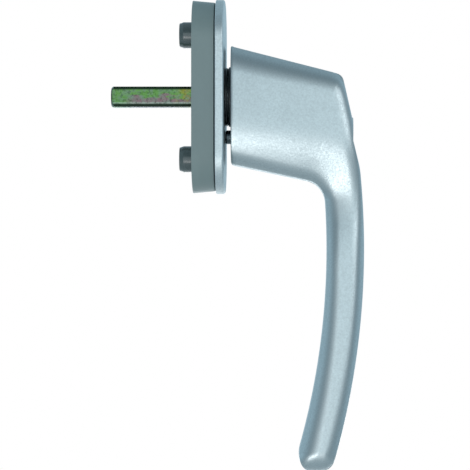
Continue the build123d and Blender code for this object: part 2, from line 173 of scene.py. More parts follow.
class NodeSheet(NodeTree):
    """One material's node tree."""

    FALLOFF = 0.6
    EDGE_SPAN: Span = (0.52, 0.62)
    BUMP_SHARE = 0.5

    def __init__(self, name: str) -> None:
        """Start an empty material.

        Args:
            name: The material's name.
        """
        self.material = bpy.data.materials.new(name)
        self.material.use_nodes = True
        super().__init__(self.material.node_tree)
        self.place = self.add("ShaderNodeTexCoord").outputs["Object"]

    def noise(self, period_mm: float, detail: float = 2.0, stretch: Place = EVEN) -> Socket:
        """Soft noise fixed to the object.

        Args:
            period_mm: Rough size of one blotch, in millimetres.
            detail: How much finer noise rides on it.
            stretch: How much denser the noise is along each axis.

        Returns:
            The noise value's socket.
        """
        spot = self.add("ShaderNodeMapping", {"Vector": self.place, "Scale": stretch})
        settings = {"Vector": spot.outputs[0], "Scale": 1 / (period_mm * MM), "Detail": detail,
                    "Roughness": self.FALLOFF}
        return self.add("ShaderNodeTexNoise", settings).outputs[0]

    def blotches(self, kind: Blotches) -> Socket:
        """Noise of one kind, mapped to its share."""
        return self.remap(self.noise(kind.period_mm, kind.detail, kind.stretch), kind.span, kind.result)

    def mix(self, share: Socket, first: Colour | Socket, second: Colour | Socket) -> Socket:
        """Mix two colours.

        Args:
            share: How much of the second colour shows.
            first: The first colour, or its socket.
            second: The second colour, or its socket.

        Returns:
            The mixed colour's socket.
        """
        inputs = {0: share}
        for number, value in ((6, first), (7, second)):
            inputs[number] = value if isinstance(value, Socket) else (*value, 1)
        return self.add("ShaderNodeMix", inputs, data_type="RGBA").outputs[2]

    def edges(self, share: float) -> Socket:
        """How much wear shows: none on flats, and this share where the surface bends outwards."""
        sharp = self.add("ShaderNodeNewGeometry").outputs["Pointiness"]
        return self.remap(sharp, self.EDGE_SPAN, (0.0, share))

    def bump(self, height: Socket, depth_mm: float) -> Socket:
        """Turn a height from 0 to 1 into a bumped normal, with a full step this deep."""
        inputs = {"Height": height, "Distance": depth_mm * MM, "Strength": self.BUMP_SHARE}
        return self.add("ShaderNodeBump", inputs).outputs[0]

    def finish(self, **inputs: object) -> bpy.types.Material:
        """Close the tree with a principled shader.

        Args:
            inputs: Values or sockets for the shader, with underscores for spaces in their names.

        Returns:
            The finished material.
        """
        named = {name.replace("_", " "): value for name, value in inputs.items()}
        shader = self.add("ShaderNodeBsdfPrincipled", named)
        self.add("ShaderNodeOutputMaterial", {"Surface": shader.outputs[0]})
        return self.material


@dataclass(frozen=True)
class SatinAluminium:
    """Fine blasted aluminium with a thin silver anodised skin."""

    name: str
    tone: Colour
    roughness: float = 0.36
    spread: float = 0.07
    grain_mm: float = 0.55
    grain_depth_mm: float = 0.015
    gloss_span: Span = (0.25, 0.75)
    darker: float = 0.90
    lighter: float = 1.09
    clouds: Blotches = Blotches(9.0, span=(0.35, 0.7), result=(0.0, 0.18))
    edge_wear: float = 0.35

    def build(self) -> bpy.types.Material:
        """Make the material with its grain, sparkle, cloudiness and brighter edges.

        Returns:
            The finished material.
        """
        sheet = NodeSheet(self.name)
        grain = sheet.noise(self.grain_mm, detail=3.0)
        dark, light = shade(self.tone, self.darker), shade(self.tone, self.lighter)
        speckled = sheet.mix(sheet.remap(grain, NOISE_SPAN), dark, light)
        clouded = sheet.mix(sheet.blotches(self.clouds), speckled, dark)
        worn = sheet.mix(sheet.edges(self.edge_wear), clouded, light)
        between = (self.roughness + self.spread, self.roughness - self.spread)
        gloss = sheet.remap(grain, self.gloss_span, between)
        normal = sheet.bump(grain, self.grain_depth_mm)
        return sheet.finish(Base_Color=worn, Metallic=1.0, Roughness=gloss, Normal=normal)


@dataclass(frozen=True)
class MouldedPlastic:
    """Moulded plastic with a faint spark-eroded grain."""

    name: str
    tone: Colour
    roughness: float = 0.42
    spread: Span = (-0.05, 0.06)
    grain_mm: float = 0.35
    grain_depth_mm: float = 0.006
    flow_mm: float = 14.0
    flow_stretch: Place = (1.0, 1.0, 0.35)
    darker: float = 0.88
    lighter: float = 1.15
    lift: float = 0.004
    edge_wear: float = 0.5
    level: float = 0.5

    def build(self) -> bpy.types.Material:
        """Make the material with its grain, cloudiness, rubbed edges and faint flow lines.

        Returns:
            The finished material.
        """
        sheet = NodeSheet(self.name)
        grain = sheet.noise(self.grain_mm)
        flow = sheet.noise(self.flow_mm, stretch=self.flow_stretch)
        shaded = sheet.mix(sheet.remap(flow, NOISE_SPAN), shade(self.tone, self.darker), self.tone)
        light = shade(self.tone, self.lighter, self.lift)
        wear_and_glint = sheet.mix(sheet.edges(self.edge_wear), shaded, light)
        between = (self.roughness + self.spread[0], self.roughness + self.spread[1])
        gloss = sheet.remap(flow, NOISE_SPAN, between)
        normal = sheet.bump(grain, self.grain_depth_mm)
        return sheet.finish(Base_Color=wear_and_glint, Roughness=gloss, Normal=normal,
                            Specular_IOR_Level=self.level)


@dataclass(frozen=True)
class YellowPassivation:
    """Zinc plated steel with an iridescent yellow passivation: green, mauve and yellow clouds.

    The green lies over a mauve band, and the spans in millimetres say where along the spindle (x) or
    across it (z, or the smaller of y and z) each colour comes in.
    """

    name: str
    green: Colour
    mauve: Colour
    yellow: Colour
    grey: Colour
    # near black: the real dark specks, and painted shade along the bar's edges and on its tip's end
    edge: Colour = (0.012, 0.028, 0.014)
    # painted highlight: the bright line just inside the bar's lower edges
    glint: Colour = (0.42, 0.52, 0.42)
    band_z_mm: Span = (0.1, -0.9)
    tip_x_mm: Span = (-20.5, -24.5)
    root_x_mm: Span = (-7.0, -3.0)
    end_x_mm: Span = (-27.7, -28.2)
    glint_z_mm: Span = (-1.0, -2.0)
    glint_mm: Span = (1.75, 2.10)
    glint_share: float = 0.5
    edge_shade_mm: Span = (2.30, 2.60)
    edge_shade_share: float = 0.92
    end_shade_share: float = 0.9
    drift: Blotches = Blotches(4.2, 5.0, (0.28, 0.72), metres((-2.6, 2.6)), (0.6, 1.0, 1.3))
    patches: Blotches = Blotches(2.4, 4.0, (0.38, 0.58), (0.0, 0.9))
    clouds: Blotches = Blotches(1.3, 4.0, (0.44, 0.66), (0.0, 0.75), (0.7, 1.0, 1.0))
    specks: Blotches = Blotches(0.9, 4.0, (0.50, 0.68), (0.0, 0.6))
    line_mm: float = 0.35
    line_stretch: Place = (0.08, 1.0, 1.0)
    line_depth_mm: float = 0.008
    roughness: Span = (0.24, 0.38)

    def clouded(self, sheet: NodeSheet, x: Socket, z: Socket) -> Socket:
        """Lay the colour clouds over one another.

        Args:
            sheet: The material's sheet.
            x: The place along the spindle.
            z: The height across it.

        Returns:
            The clouded colour's socket.
        """
        height = sheet.calculate("ADD", z, sheet.blotches(self.drift))
        body = sheet.mix(sheet.remap(height, metres(self.band_z_mm)), self.green, self.mauve)
        tipped = sheet.mix(sheet.remap(x, metres(self.tip_x_mm)), body, self.green)
        root = sheet.remap(x, metres(self.root_x_mm))
        yellowed = sheet.calculate("MULTIPLY", root, sheet.blotches(self.patches))
        rooted = sheet.mix(yellowed, tipped, self.yellow)
        return sheet.mix(sheet.blotches(self.clouds), rooted, self.grey)

    def edged(self, sheet: NodeSheet, colour: Socket, place: Iterable[Socket]) -> Socket:
        """Paint a highlight along the lower flats just inside their edges, paint shade along the edges and
        on the tip's end, and darken the specks.

        Args:
            sheet: The material's sheet.
            colour: The colour to lay this over.
            place: The place on the spindle: x, y and z.

        Returns:
            The finished colour's socket.
        """
        x, y, z = place
        across = [sheet.calculate("ABSOLUTE", value) for value in (y, z)]
        least = sheet.calculate("MINIMUM", *across)
        # painted highlight along the lower flats, just inside the edges
        rim = sheet.remap(least, metres(self.glint_mm), (0.0, self.glint_share))
        wear_and_glint = sheet.calculate("MULTIPLY", rim, sheet.remap(z, metres(self.glint_z_mm)))
        lit = sheet.mix(wear_and_glint, colour, self.glint)
        # painted shade: the bands along the bar's edges go near black
        edge_shade_mask = sheet.remap(least, metres(self.edge_shade_mm), (0.0, self.edge_shade_share))
        dark = sheet.mix(edge_shade_mask, lit, self.edge)
        specked = sheet.mix(sheet.blotches(self.specks), dark, self.edge)
        # painted shade on the tip's end
        end_shade_mask = sheet.remap(x, metres(self.end_x_mm), (0.0, self.end_shade_share))
        return sheet.mix(end_shade_mask, specked, self.edge)

    def build(self) -> bpy.types.Material:
        """Make the material with its colour clouds, drawing lines, and painted highlight and shade at its
        edges.

        Returns:
            The finished material.
        """
        sheet = NodeSheet(self.name)
        place = sheet.add("ShaderNodeSeparateXYZ", {0: sheet.place}).outputs
        colour = self.edged(sheet, self.clouded(sheet, place["X"], place["Z"]), place)
        lines = sheet.noise(self.line_mm, detail=1.0, stretch=self.line_stretch)
        gloss = sheet.remap(lines, NOISE_SPAN, self.roughness)
        normal = sheet.bump(lines, self.line_depth_mm)
        return sheet.finish(Base_Color=colour, Metallic=1.0, Roughness=gloss, Normal=normal)


@dataclass(frozen=True)
class WorkedSteel:
    """Turned, drawn or plated metal, by its tone and gloss."""

    name: str
    tone: Colour
    roughness: float = 0.3
    spread: Span = (-0.06, 0.08)
    line_mm: float = 0.3
    stretch: Place = (0.15, 1.0, 1.0)
    line_depth_mm: float = 0.006
    darker: float = 0.75
    lighter: float = 1.3
    lift: float = 0.02
    stains: Blotches = Blotches(4.0, 3.0, (0.4, 0.75), (0.0, 0.7))
    edge_wear: float = 0.6

    def build(self) -> bpy.types.Material:
        """Make the material with its machining lines, stains and worn edges.

        Returns:
            The finished material.
        """
        sheet = NodeSheet(self.name)
        lines = sheet.noise(self.line_mm, stretch=self.stretch)
        stained = sheet.mix(sheet.blotches(self.stains), self.tone, shade(self.tone, self.darker))
        light = shade(self.tone, self.lighter, self.lift)
        worn = sheet.mix(sheet.edges(self.edge_wear), stained, light)
        between = (self.roughness + self.spread[0], self.roughness + self.spread[1])
        gloss = sheet.remap(lines, NOISE_SPAN, between)
        normal = sheet.bump(lines, self.line_depth_mm)
        return sheet.finish(Base_Color=worn, Metallic=1.0, Roughness=gloss, Normal=normal)


class Finishes(Enum):
    """The handle's finishes."""

    LEVER = SatinAluminium("satin_lever", screen_colour(187, 196, 198))
    COVER = SatinAluminium("satin_cover", screen_colour(205, 213, 214), roughness=0.44)
    GREY = MouldedPlastic("grey_moulding", screen_colour(133, 147, 145))
    PEG = MouldedPlastic("glossy_peg_plastic", screen_colour(74, 87, 86), roughness=0.26, level=1.0)
    BLACK = MouldedPlastic("black_slide_plastic", (0.004, 0.007, 0.008), roughness=0.26,
                           grain_depth_mm=0.002)
    YELLOW = YellowPassivation("yellow_passivation", green=screen_colour(104, 148, 80),
                               mauve=screen_colour(135, 110, 113), yellow=screen_colour(156, 150, 62),
                               grey=screen_colour(120, 138, 122))
    ZINC = WorkedSteel("bright_zinc_plate", screen_colour(180, 186, 192), roughness=0.32)
    CASTING = WorkedSteel("zinc_casting", screen_colour(150, 153, 158), roughness=0.45, stretch=EVEN)
    BALL = WorkedSteel("bearing_steel", screen_colour(190, 193, 197), roughness=0.14, stretch=EVEN,
                       line_depth_mm=0.002)
    SPRING = WorkedSteel("spring_wire", screen_colour(120, 122, 128), roughness=0.28)
    NICKEL = WorkedSteel("nickel_plate", screen_colour(198, 200, 198), roughness=0.24,
                         stretch=(1.0, 0.3, 0.3))
    BRASS = WorkedSteel("stamped_brass", screen_colour(200, 170, 95), roughness=0.3)
    BLACKENED = WorkedSteel("blackened_steel", screen_colour(88, 96, 100), roughness=0.26,
                            stretch=(1.0, 0.3, 0.3))

    def material(self) -> bpy.types.Material:
        """Return this finish's material, made once."""
        found = bpy.data.materials.get(self.value.name)
        return found or self.value.build()


def dress(piece: bpy.types.Object, finish: Finishes) -> None:
    """Give every face of a piece one finish.

    Args:
        piece: The piece or carried-over node.
        finish: The finish to give it.
    """
    material = finish.material()
    if not piece.material_slots:
        piece.data.materials.append(material)
    for place in piece.material_slots:
        place.material = material


# --- shares and outlines ------------------------------------------------------------------------
def ramp(value: np.ndarray, start: float, stop: float) -> np.ndarray:
    """Rise evenly from 0 at one value to 1 at another."""
    return np.clip((value - start) / (stop - start), 0, 1)


def eased(value: np.ndarray, start: float, stop: float) -> np.ndarray:
    """Rise from 0 at one value to 1 at another, softly at both ends."""
    share = ramp(value, start, stop)
    return share * share * (3 - 2 * share)


class Outline:
    """A dense path in X and Z, in millimetres, with rounded corners."""

    STEP = 0.2
    LOOK = 3
    BEND_POINTS = 15

    def __init__(self, start: Point) -> None:
        """Begin the path.

        Args:
            start: Its first point.
        """
        self.points: list[np.ndarray] = [np.array(start, float)]
        self.corners: list[tuple[int, float]] = []

    def line(self, end: Point, radius: float = 0.0) -> "Outline":
        """Go straight to a point.

        Args:
            end: Where the line ends.
            radius: Radius of the corner at that end, or 0.

        Returns:
            This path.
        """
        start, stop = self.points[-1], np.array(end, float)
        count = max(2, int(np.linalg.norm(stop - start) / self.STEP))
        self.points += [start + (stop - start) * k / count for k in range(1, count + 1)]
        return self.corner(radius)

    def arc(self, centre: Point, radius: float, end_z: float, corner: float = 0.0) -> "Outline":
        """Follow an arc on its +X side down or up to a height.

        Args:
            centre: The arc's centre.
            radius: The arc's radius.
            end_z: Height of the arc's end.
            corner: Radius of the corner at that end, or 0.

        Returns:
            This path.
        """
        start_z = self.points[-1][1]
        count = max(2, int(abs(end_z - start_z) / self.STEP))
        for k in range(1, count + 1):
            z = start_z + (end_z - start_z) * k / count
            self.points.append(np.array([centre[0] + math.sqrt(radius**2 - (z - centre[1]) ** 2), z]))
        return self.corner(corner)

    def corner(self, radius: float) -> "Outline":
        """Remember that the last point is a corner with this radius, and return this path."""
        if radius > 0:
            self.corners.append((len(self.points) - 1, radius))
        return self

    def rounded(self) -> np.ndarray:
        """Turn every remembered corner into an arc.

        Returns:
            The path's points, one row each.
        """
        path = list(self.points)
        for index, radius in reversed(self.corners):
            back, ahead = path[index] - path[index - self.LOOK], path[index + self.LOOK] - path[index]
            back, ahead = back / np.linalg.norm(back), ahead / np.linalg.norm(ahead)
            turn = math.acos(max(-1.0, min(1.0, float(back @ ahead))))
            reach = radius * math.tan(turn / 2)
            first, last = index, index
            while first > 1 and np.linalg.norm(path[first] - path[index]) < reach:
                first -= 1
            while last < len(path) - 2 and np.linalg.norm(path[last] - path[index]) < reach:
                last += 1
            weight = math.cos(turn / 2)
            spots = np.array([path[first], path[index], path[last]])
            bend = []
            for t in np.linspace(0, 1, self.BEND_POINTS):
                parts = np.array([(1 - t) ** 2, 2 * t * (1 - t) * weight, t * t])
                bend.append(parts @ spots / parts.sum())
            path[first:last + 1] = bend
        return np.array(path)


class Rail:
    """An outline that is read by the distance along it."""

    def __init__(self, path: np.ndarray) -> None:
        """Measure the path.

        Args:
            path: Its points, one row each.
        """
        self.path = path
        steps = np.linalg.norm(np.diff(path, axis=0), axis=1)
        self.run = np.concatenate([[0.0], np.cumsum(steps)])

    def at(self, distance: np.ndarray) -> np.ndarray:
        """Points at these distances along the path."""
        return np.stack([np.interp(distance, self.run, self.path[:, k]) for k in (0, 1)], axis=-1)

    def nearest(self, point: Point) -> float:
        """Distance along the path of its point nearest to this one."""
        gap = np.linalg.norm(self.path - np.array(point), axis=1)
        return float(self.run[int(gap.argmin())])

    def gap(self, spots: np.ndarray) -> np.ndarray:
        """Measure how far points are from the path.

        Args:
            spots: The points X and Z, one row each.

        Returns:
            The distance of each.
        """
        away = np.linalg.norm(spots[:, None, :] - self.path[None, :, :], axis=2)
        near = np.clip(away.argmin(axis=1), 1, len(self.path) - 2)
        best = away.min(axis=1)
        for first in (near - 1, near):
            start, step = self.path[first], self.path[first + 1] - self.path[first]
            share = ((spots - start) * step).sum(axis=1) / (step * step).sum(axis=1)
            foot = start + step * np.clip(share, 0, 1)[:, None]
            best = np.minimum(best, np.linalg.norm(spots - foot, axis=1))
        return best


def smooth_through(knots: np.ndarray, values: np.ndarray, places: np.ndarray) -> np.ndarray:
    """Read a rising curve through given values, smooth and without overshoot.

    Args:
        knots: Where the values stand, rising.
        values: The values, rising.
        places: Where to read the curve.

    Returns:
        The curve's values at those places.
    """
    widths = np.diff(knots)
    slopes = np.diff(values) / widths
    tangents = np.zeros(len(knots))
    tangents[0], tangents[-1] = slopes[0], slopes[-1]
    for k in range(1, len(knots) - 1):
        if slopes[k - 1] * slopes[k] > 0:
            tangents[k] = 2 * slopes[k - 1] * slopes[k] / (slopes[k - 1] + slopes[k])
    which = np.clip(np.searchsorted(knots, places, side="right") - 1, 0, len(widths) - 1)
    share = (places - knots[which]) / widths[which]
    square, cube = share**2, share**3
    return ((2 * cube - 3 * square + 1) * values[which]
            + (cube - 2 * square + share) * widths[which] * tangents[which]
            + (3 * square - 2 * cube) * values[which + 1]
            + (cube - square) * widths[which] * tangents[which + 1])


# --- mesh helpers -------------------------------------------------------------------------------
def as_object(name: str, mesh: bmesh.types.BMesh) -> bpy.types.Object:
    """Put a bmesh into the scene as a smooth shaded object.

    Args:
        name: The object's name.
        mesh: Its geometry, which is freed.

    Returns:
        The new object.
    """
    data = bpy.data.meshes.new(name)
    mesh.to_mesh(data)
    mesh.free()
    data.polygons.foreach_set("use_smooth", [True] * len(data.polygons))
    made = bpy.data.objects.new(name, data)
    bpy.context.scene.collection.objects.link(made)
    return made


def loft(name: str, sections: Iterable[Iterable[Iterable[float]]]) -> bpy.types.Object:
    """Skin closed sections with equal numbers of points, and close both ends.

    Args:
        name: The name of the solid.
        sections: The sections in order, each a ring of points X, Y, Z in millimetres.

    Returns:
        The closed solid.
    """
    mesh = bmesh.new()
    rows = [[mesh.verts.new(Vector(spot) * MM) for spot in section] for section in sections]
    for first, second in zip(rows, rows[1:]):
        for k in range(len(first)):
            following = (k + 1) % len(first)
            mesh.faces.new((first[k], first[following], second[following], second[k]))
    for end in (rows[0], rows[-1]):
        mesh.faces.new(end)
    bmesh.ops.recalc_face_normals(mesh, faces=mesh.faces)
    return as_object(name, mesh)


def prism(name: str, outline: list[Point], start: float, end: float, along: int = 0) -> bpy.types.Object:
    """A closed prism along one axis, in millimetres.

    Args:
        name: Its name.
        outline: Its section in the other two axes, in their order.
        start: Where it starts along the axis.
        end: Where it ends along the axis.
        along: The axis: 0 for X, 1 for Y, 2 for Z.

    Returns:
        The prism.
    """
    return loft(name, [[[*spot[:along], place, *spot[along:]] for spot in outline]
                       for place in (start, end)])


def rod(radius: float, start: float, end: float, centre: Point = (0.0, 0.0), along: int = 0,
        sides: int = 96) -> bpy.types.Object:
    """A closed cylinder along one axis, in millimetres.

    Args:
        radius: Its radius.
        start: Where it starts along the axis.
        end: Where it ends along the axis.
        centre: Its axis in the other two coordinates.
        along: The axis: 0 for X, 1 for Y, 2 for Z.
        sides: How many faces go round it.

    Returns:
        The cylinder.
    """
    turns = [2 * math.pi * k / sides for k in range(sides)]
    outline = [(centre[0] + radius * math.cos(t), centre[1] + radius * math.sin(t)) for t in turns]
    return prism("rod", outline, start, end, along)


def cut_or_join(piece: bpy.types.Object, tool: bpy.types.Object, operation: str) -> None:
    """Apply an exact boolean to a piece and remove the tool.

    Args:
        piece: The piece that is changed.
        tool: The solid that cuts it or is joined to it.
        operation: DIFFERENCE or UNION.
    """
    step = piece.modifiers.new("solid", "BOOLEAN")
    step.operation = operation
    step.solver = "EXACT"
    step.object = tool
    graph = bpy.context.evaluated_depsgraph_get()
    result = bpy.data.meshes.new_from_object(piece.evaluated_get(graph))
    piece.modifiers.clear()
    old = piece.data
    piece.data = result
    bpy.data.meshes.remove(old)
    bpy.data.objects.remove(tool)


# --- the lever ----------------------------------------------------------------------------------
@dataclass(frozen=True)
class EdgeSize:
    """One size of a rounded edge in millimetres, and what the lever's regions add to it.

    The root is the head's rear, so its part counts only in the head.
    """

    base: float
    down_grip: float = 0.0
    in_head: float = 0.0
    at_root: float = 0.0

    def at(self, down_grip: np.ndarray, in_head: np.ndarray, at_root: np.ndarray) -> np.ndarray:
        """The size where the regions have these shares."""
        return self.base + self.down_grip * down_grip + in_head * (self.in_head + self.at_root * at_root)


@dataclass(frozen=True)
class RoundedEdge:
    """How a side face falls away towards one edge: over what reach, and how deep."""

    reach: EdgeSize
    depth: EdgeSize


LEVER_EDGES = {
    "top": RoundedEdge(EdgeSize(7.8, at_root=1.8), EdgeSize(4.9, at_root=0.8)),
    "front": RoundedEdge(EdgeSize(4.6, in_head=0.3), EdgeSize(3.3, in_head=-1.2)),
    "under": RoundedEdge(EdgeSize(4.7, down_grip=2.4, in_head=-0.4, at_root=0.5),
                         EdgeSize(4.0, down_grip=1.3, in_head=-1.8, at_root=1.0)),
    "end": RoundedEdge(EdgeSize(7.2), EdgeSize(6.6)),
}


@dataclass
class Lever:
    """The aluminium lever: a wedge-shaped head that flows into a curved grip.

    Sizes are in millimetres, and follow the frame's own lever.
    """

    rear: float = 13.25
    head_top: float = 17.3
    front_top: Point = (51.5, 7.5)
    front_top_r: float = 3.0
    facet_x: float = 55.3
    facet_z: Span = (-9.2, -15.3)
    facet_corner_r: Span = (0.8, 1.2)
    grip_centre: Point = (-207.9, -52.6)
    inner_r: float = 254.0
    outer_r: float = 267.0
    end_z: float = -129.2
    end_inner_r: float = 6.5
    end_outer_r: float = 4.5
    blend_z: float = -24.8
    blend_r: float = 30.0
    under_start: float = -23.6
    under_corner: Point = (45.13, -30.37)
    under_corner_r: float = 8.0
    brow: Point = (55.45, -9.2)
    brow_r: float = 80.0
    bend_r: float = 120.0
    run_on: float = 12.0
    end_run_on: float = 6.0

    head_half_w: float = 13.5
    grip_half_w: float = 10.2
    least_half_w: float = 0.02
    narrowing_z: Span = (-11.0, -44.0)
    grip_swell_z: Span = (-53.0, -119.0)
    head_fade_z: Span = (-58.0, -28.0)
    root_x: Span = (44.0, 18.0)
    edges: dict[str, RoundedEdge] = field(default_factory=lambda: LEVER_EDGES)
    edge_merge: float = 2.8
    steepest: float = 0.995
    head_taper: float = 3.0
    taper_reach: float = 19.0
    inner_bulge: Span = (0.20, 0.25)
    outer_bulge: Span = (0.30, 0.50)

    rings: tuple[int, ...] = (18, 26, 44, 34, 26, 20, 60, 40)
    edge_lines: int = 20
    middle_lines: int = 10
    spine_lines: int = 6
    edge_zone: float = 8.5
    edge_zone_share: float = 0.42
    least_gap: float = 0.3
    cap_start: float = 5.2
    cap_inset: float = 0.25
    cap_width: float = 3.0
    rear_steps: tuple[Span, ...] = ((0.0, 0.5), (0.12, 0.16), (0.45, 0.0))
    sharp_angle: float = math.radians(38)

    neck_r: float = 8.0
    neck_end: float = 3.9
    groove_r: float = 7.3
    groove_x: Span = (4.4, 5.4)
    socket_af: float = 7.1
    socket_end: float = 37.0
    pin_x: float = 9.2
    pin_r: float = 1.5
    pin_half: float = 7.5
    plug_z: float = -11.15
    housing_r: float = 4.15
    housing_x: Span = (27.9, 60.0)
    bolt_z: float = -13.9
    bolt_bore_r: float = 2.45
    chamber_r: float = 3.7
    chamber_x: Span = (18.0, 38.4)
    set_screw_x: float = 41.0
    set_screw_r: float = 1.5
    set_screw_depth: float = 25.0
    overrun: float = 1.0
    guide: dict[str, Rail] = field(default_factory=dict)

    def __post_init__(self) -> None:
        """Lay out the guides."""
        self.guide = self.guides()

    def outer_rail(self) -> Rail:
        """Draw the outline over the top, down the front and along the grip's outside.

        Returns:
            The outline as a rail.
        """
        path = Outline((self.rear, self.head_top)).line(self.front_top, self.front_top_r)
        for z, radius in zip(self.facet_z, self.facet_corner_r):
            path.line((self.facet_x, z), radius)
        path.line(self.outer(self.blend_z), self.blend_r)
        path.arc(self.grip_centre, self.outer_r, self.end_z, self.end_outer_r)
        path.line((self.end_middle(), self.end_z))
        return Rail(path.rounded())

    def inner_rail(self) -> Rail:
        """Draw the outline along the head's underside and the grip's inside.

        Returns:
            The outline as a rail.
        """
        path = Outline((self.rear, self.under_start)).line(self.under_corner, self.under_corner_r)
        path.arc(self.grip_centre, self.inner_r, self.end_z, self.end_inner_r)
        path.line((self.end_middle(), self.end_z))
        return Rail(path.rounded())

    def guides(self) -> dict[str, Rail]:
        """Draw the open outlines that the side's roundings are measured from, run on past their ends.

        Returns:
            The guides, by the name of their edge.
        """
        on, past_end = self.run_on, self.end_z - self.end_run_on
        slope = (self.front_top[0] - self.brow[0]) / (self.front_top[1] - self.brow[1])
        above = (self.front_top[0] + slope * on, self.front_top[1] + on)
        front = Outline(above).line(self.brow, self.brow_r).line(self.outer(self.blend_z), self.bend_r)
        front.arc(self.grip_centre, self.outer_r, past_end)
        fall = (self.under_corner[1] - self.under_start) / (self.under_corner[0] - self.rear)
        under = Outline((self.rear - on, self.under_start - fall * on))
        under.line(self.under_corner, self.under_corner_r)
        under.arc(self.grip_centre, self.inner_r, past_end)
        rise = (self.front_top[1] - self.head_top) / (self.front_top[0] - self.rear)
        top = Outline((self.rear - on, self.head_top - rise * on))
        top.line((self.front_top[0] + on, self.front_top[1] + rise * on))
        return {"top": Rail(top.rounded()), "front": Rail(front.rounded()), "under": Rail(under.rounded())}

    def relief(self, spots: np.ndarray) -> np.ndarray:
        """Work out how far the side face lies inside the half width.

        Args:
            spots: Points X and Z on the side face, one row each.

        Returns:
            How far in each point lies.
        """
        x, z = spots[:, 0], spots[:, 1]
        gaps = {name: rail.gap(spots) for name, rail in self.guide.items()}
        gaps["end"] = z - self.end_z
        in_head = eased(z, *self.head_fade_z)
        regions = (ramp(z, *self.grip_swell_z), in_head, ramp(x, *self.root_x))
        total, weighted = 0.0, 0.0
        for name, edge in self.edges.items():
            share = np.clip(1 - gaps[name] / edge.reach.at(*regions), 0, 1) ** self.edge_merge
            total = total + share
            weighted = weighted + share * edge.depth.at(*regions)
        depth = weighted / (total + TINY)
        bent = total ** (1 / self.edge_merge)
        round_part = 1 - np.sqrt(1 - np.minimum(bent, self.steepest) ** 2)
        rounded = depth * (round_part + np.maximum(bent - self.steepest, 0))
        taper = self.head_taper * in_head * np.clip(1 - gaps["under"] / self.taper_reach, 0, 1) ** 2
        return rounded + taper

    def arc_x(self, radius: float, z: float) -> float:
        """X of one of the grip's two arcs at a height."""
        return self.grip_centre[0] + math.sqrt(radius**2 - (z - self.grip_centre[1]) ** 2)

    def outer(self, z: float) -> Point:
        """The point of the grip's outer arc at a height."""
        return (self.arc_x(self.outer_r, z), z)

    def inner(self, z: float) -> Point:
        """The point of the grip's inner arc at a height."""
        return (self.arc_x(self.inner_r, z), z)

    def end_middle(self) -> float:
        """X of the middle of the grip's flat end."""
        return (self.arc_x(self.outer_r, self.end_z) + self.arc_x(self.inner_r, self.end_z)) / 2

    def section_lines(self) -> tuple[np.ndarray, np.ndarray]:
        """Pair the two outlines so that lines between the pairs sweep the lever without crossing.

        Returns:
            The inner points and the outer points, one row for each section.
        """
        outer, inner = self.outer_rail(), self.inner_rail()
        near_end = self.end_z + self.cap_start
        pairs = [
            ((self.rear, self.head_top), (self.rear, self.under_start)),
            ((34.0, 12.0), (30.0, -27.1)),
            (self.front_top, (40.5, -29.4)),
            ((self.facet_x, self.facet_z[1]), (43.6, -31.5)),
            (self.outer(-31.0), (45.5, -36.4)),
            (self.outer(-46.0), self.inner(-47.5)),
            (self.outer(-66.0), self.inner(-66.0)),
            (self.outer(near_end), self.inner(near_end)),
        ]
        knots = np.cumsum([0, *self.rings]).astype(float)
        places = np.arange(knots[-1] + 1)
        found = []
        for side, rail in ((1, inner), (0, outer)):
            runs = [rail.nearest(pair[side]) for pair in pairs] + [rail.run[-1] - self.cap_inset]
            found.append(rail.at(smooth_through(knots, np.array(runs), places)))
        return (found[0], found[1])

    def half_width(self, z: np.ndarray) -> np.ndarray:
        """Half of the lever's width at these heights, as seen from the room."""
        return self.head_half_w + (self.grip_half_w - self.head_half_w) * eased(z, *self.narrowing_z)

    def edge_reach(self, probe: np.ndarray, names: Iterable[str], length: float) -> float:
        """Work out how far close lines run into a section from one of its edges.

        Args:
            probe: A point X, Z, one millimetre into the section from the edge.
            names: The guides that the edge follows.
            length: The section's length.

        Returns:
            The reach along the section.
        """
        gap = max(self.least_gap, float(min(self.guide[name].gap(probe[None])[0] for name in names)))
        return min(self.edge_zone / gap, self.edge_zone_share * length)

    def section(self, inner: np.ndarray, outer: np.ndarray, head: float, end: float) -> np.ndarray:
        """One closed section between an inner and an outer point.

        Args:
            inner: The point on the inner outline, X and Z.
            outer: The point on the outer outline, X and Z.
            head: 1 in the head, falling to 0 in the grip.
            end: 0 along the lever, rising to 1 where its flat end closes.

        Returns:
            Points X, Y, Z round the section, one row each.
        """
        length = float(np.linalg.norm(outer - inner))
        along = (outer - inner) / length
        low_bulge, high_bulge = (start + (stop - start) * head
                                 for start, stop in (self.inner_bulge, self.outer_bulge))
        low_reach = self.edge_reach(inner + along, ("under",), length)
        high_reach = self.edge_reach(outer - along, ("top", "front"), length)
        turns = np.linspace(0, math.pi / 2, self.edge_lines)
        low = low_bulge + low_reach * (1 - np.cos(turns))
        high = length - high_bulge - high_reach * (1 - np.sin(turns))
        middle = np.linspace(low[-1], high[0], self.middle_lines)[1:-1]
        spots = inner + along * np.concatenate([low, middle, high])[:, None]
        y = (self.half_width(spots[:, 1]) - self.relief(spots)) * (1 - end)
        y = np.maximum(y, self.least_half_w)
        spine = np.linspace(0, 1, self.spine_lines)[:-1]
        bottom = [(*(inner + along * low_bulge * s * s), s * y[0]) for s in spine]
        top = [(*(outer - along * high_bulge * s * s), s * y[-1]) for s in spine[::-1]]
        side = [(*spot, across) for spot, across in zip(spots, y)]
        half = [(x, across, z) for x, z, across in bottom + side + top]
        other = [(x, -across, z) for x, across, z in reversed(half[1:-1])]
        return np.array(half + other)

    def rear_edge(self, first: np.ndarray) -> list[np.ndarray]:
        """Break the sharp edge round the head's back face.

        Args:
            first: The section at the back face.

        Returns:
            The sections that replace it.
        """
        middle = np.array([self.rear, 0.0, (self.head_top + self.under_start) / 2])
        away = first - middle
        reach = np.linalg.norm(away, axis=1, keepdims=True)
        made = []
        for back, inset in self.rear_steps:
            moved = middle + away * (1 - inset / reach)
            moved[:, 0] += back
            made.append(moved)
        return made

